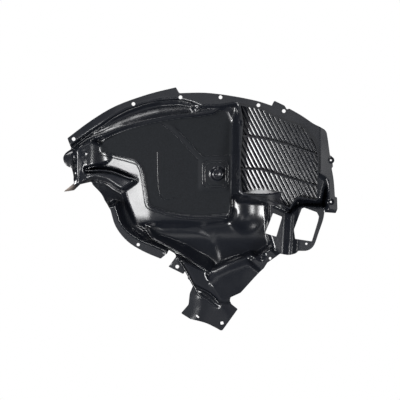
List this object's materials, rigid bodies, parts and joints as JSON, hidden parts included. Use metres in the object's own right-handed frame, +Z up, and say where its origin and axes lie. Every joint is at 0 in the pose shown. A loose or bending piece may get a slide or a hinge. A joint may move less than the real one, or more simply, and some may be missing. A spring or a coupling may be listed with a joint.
{
  "type": "wheel arch liner",
  "caption": "Moulded plastic wheel arch liner with a curved clip flange, a trough, a grained panel, a louvre grille, windows and a folded foot bracket.",
  "frame": {"origin": "midway between the two locating holes of the top flange, on the flange's wheel side face", "axes": "+X along the arch towards the louvre grille, +Y from the wheel side to the body side, +Z up"},
  "size_m": [0.66, 0.1089, 0.586],
  "materials": {
    "liner_plastic": "black moulded polypropylene, glossy on the smooth faces and grained on the wide panel"
  },
  "bodies": {
    "root": {"arch_liner": "liner_plastic"}
  },
  "joints": []
}
